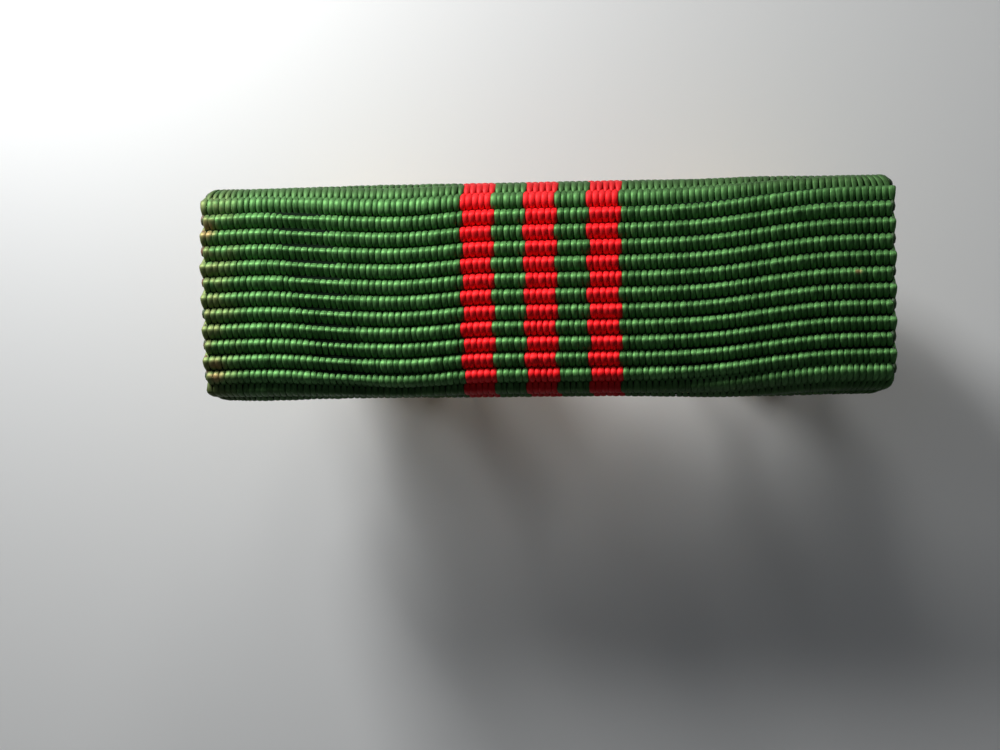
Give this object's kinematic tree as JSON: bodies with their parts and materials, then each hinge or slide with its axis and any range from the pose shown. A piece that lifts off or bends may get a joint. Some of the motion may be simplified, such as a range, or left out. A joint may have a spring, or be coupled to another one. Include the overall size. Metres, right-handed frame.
{
  "type": "service ribbon bar",
  "caption": "Single woven service ribbon, green with narrow red centre stripes, wrapped on a pressed metal bar with butterfly clutch backs.",
  "frame": {"origin": "on the surface the bar lies on, face up, under the middle of the bar", "axes": "+X along the ribbon's width (the bar's long side), +Y towards the bar's upper edge as worn, +Z out of the ribboned face"},
  "size_m": [0.0348, 0.011, 0.0115],
  "materials": {
    "ribbon_green": "ribbed weave",
    "ribbon_red": "ribbed weave",
    "former_brass": "pressed, dull",
    "plate_brass": "brushed, aged",
    "post_nickel": "nickel",
    "clutch_gilt": "bright, worn",
    "wing_gilt": "bright, worn",
    "spring_bronze": "dull"
  },
  "bodies": {
    "bar": {"ribbon_green_bands": "ribbon_green", "ribbon_red_stripes": "ribbon_red", "front_former": "former_brass", "back_plate": "plate_brass", "post_left": "post_nickel", "post_right": "post_nickel", "post_collar_left": "post_nickel", "post_collar_right": "post_nickel"},
    "clutch_left": {"clutch_base_left": "clutch_gilt", "clutch_cover_left": "clutch_gilt", "jaw_spring_left": "spring_bronze"},
    "wing_outer_left": {"wing_outer_left": "wing_gilt"},
    "wing_inner_left": {"wing_inner_left": "wing_gilt"},
    "clutch_right": {"clutch_base_right": "clutch_gilt", "clutch_cover_right": "clutch_gilt", "jaw_spring_right": "spring_bronze"},
    "wing_outer_right": {"wing_outer_right": "wing_gilt"},
    "wing_inner_right": {"wing_inner_right": "wing_gilt"}
  },
  "joints": [
    {"name": "clutch_slide_left", "type": "slide", "parent": "bar", "child": "clutch_left", "axis": [0, 0, -1], "range_m": [0, 0.01]},
    {"name": "wing_squeeze_outer_left", "type": "hinge", "parent": "clutch_left", "child": "wing_outer_left", "pos_m": [-0.01103, 0, 0.0034], "axis": [0, -1, 0], "range_deg": [0, 12], "stiffness_Nm_per_rad": 0.01, "springref_deg": -8.59, "deforming": ["jaw_spring_left"]},
    {"name": "wing_squeeze_inner_left", "type": "hinge", "parent": "clutch_left", "child": "wing_inner_left", "pos_m": [-0.00802, 0, 0.0034], "axis": [0, 1, 0], "range_deg": [0, 12], "stiffness_Nm_per_rad": 0.01, "springref_deg": -8.59, "deforming": ["jaw_spring_left"]},
    {"name": "clutch_slide_right", "type": "slide", "parent": "bar", "child": "clutch_right", "axis": [0, 0, -1], "range_m": [0, 0.01]},
    {"name": "wing_squeeze_outer_right", "type": "hinge", "parent": "clutch_right", "child": "wing_outer_right", "pos_m": [0.01103, 0, 0.0034], "axis": [0, 1, 0], "range_deg": [0, 12], "stiffness_Nm_per_rad": 0.01, "springref_deg": -8.59, "deforming": ["jaw_spring_right"]},
    {"name": "wing_squeeze_inner_right", "type": "hinge", "parent": "clutch_right", "child": "wing_inner_right", "pos_m": [0.00802, 0, 0.0034], "axis": [0, -1, 0], "range_deg": [0, 12], "stiffness_Nm_per_rad": 0.01, "springref_deg": -8.59, "deforming": ["jaw_spring_right"]}
  ]
}
